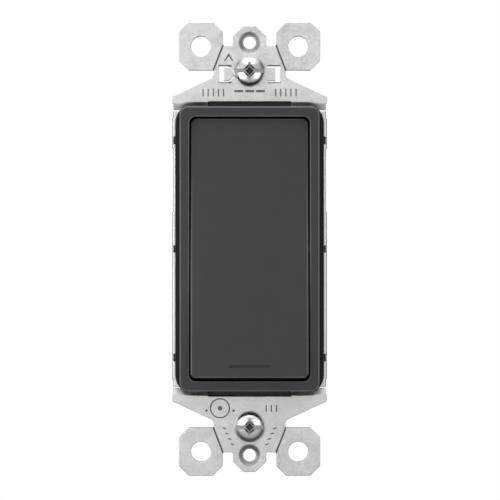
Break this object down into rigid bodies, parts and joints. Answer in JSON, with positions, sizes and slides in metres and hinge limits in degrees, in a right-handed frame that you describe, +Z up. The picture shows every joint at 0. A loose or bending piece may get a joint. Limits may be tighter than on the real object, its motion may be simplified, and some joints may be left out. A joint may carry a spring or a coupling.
{
  "type": "rocker wall switch",
  "caption": "Decorator-style rocker wall switch for one gang: dark paddle and bezel on a plated steel strap with break-off ears, moulded back body and side terminals.",
  "frame": {"origin": "middle of the strap's rear bearing plane, midway between the two device screws", "axes": "+Z up along the strap's length, +X to the right seen from the front, +Y from the front towards the wall box"},
  "size_m": [0.0362, 0.0347, 0.1064],
  "materials": {
    "zinc_plated_steel": "satin",
    "nickel_plated_steel": "bright",
    "paddle_plastic": "satin",
    "bezel_plastic": "satin",
    "body_plastic": "matt",
    "brass": "satin",
    "silver_contact": "satin",
    "spring_steel": "satin",
    "green_plated_steel": "satin",
    "fibre": "matt",
    "rubber": "matt",
    "acetal": "satin"
  },
  "bodies": {
    "switch_frame": {"strap": "zinc_plated_steel", "auto_ground_clip": "brass", "screw_retainer_top": "fibre", "screw_retainer_bottom": "fibre", "front_cover": "bezel_plastic", "back_body": "body_plastic", "bumper_upper": "rubber", "bumper_lower": "rubber", "line_terminal": "brass", "load_terminal": "brass", "fixed_contact": "silver_contact"},
    "rocker": {"rocker_paddle": "paddle_plastic", "plunger_spring": "spring_steel"},
    "plunger": {"plunger": "acetal"},
    "contact_blade": {"contact_arm": "brass", "moving_contact": "silver_contact"},
    "mounting_screw_top": {"mounting_screw_top": "nickel_plated_steel"},
    "mounting_screw_bottom": {"mounting_screw_bottom": "nickel_plated_steel"},
    "line_clamp": {"line_terminal_screw": "brass", "line_pressure_plate": "zinc_plated_steel"},
    "load_clamp": {"load_terminal_screw": "brass", "load_pressure_plate": "zinc_plated_steel"},
    "ground_screw": {"ground_screw": "green_plated_steel"}
  },
  "joints": [
    {"name": "rocker_tilt", "type": "hinge", "parent": "switch_frame", "child": "rocker", "pos_m": [0, -0.0026, 0], "axis": [1, 0, 0], "range_deg": [0, 7.2]},
    {"name": "contact_toggle", "type": "hinge", "parent": "switch_frame", "child": "contact_blade", "pos_m": [0, 0.0147, 0], "axis": [1, 0, 0], "range_deg": [-10.8, 0]},
    {"name": "plunger_slide", "type": "slide", "parent": "rocker", "child": "plunger", "axis": [0, -0.998, 0.0628], "range_m": [0, 0.0006], "stiffness_N_per_m": 800},
    {"name": "top_screw_turn", "type": "hinge", "parent": "switch_frame", "child": "mounting_screw_top", "pos_m": [0, -0.00125, 0.04167], "axis": [0, 1, 0], "continuous": true},
    {"name": "bottom_screw_turn", "type": "hinge", "parent": "switch_frame", "child": "mounting_screw_bottom", "pos_m": [0, -0.00125, -0.04167], "axis": [0, 1, 0], "continuous": true},
    {"name": "line_screw_loosen", "type": "slide", "parent": "switch_frame", "child": "line_clamp", "axis": [1, 0, 0], "range_m": [0, 0.002]},
    {"name": "load_screw_loosen", "type": "slide", "parent": "switch_frame", "child": "load_clamp", "axis": [1, 0, 0], "range_m": [0, 0.002]},
    {"name": "ground_screw_loosen", "type": "slide", "parent": "switch_frame", "child": "ground_screw", "axis": [0, 0, -1], "range_m": [0, 0.002]}
  ],
  "couplings": [
    {"joint": "contact_toggle", "follows": "rocker_tilt", "ratio": -1.5}
  ]
}
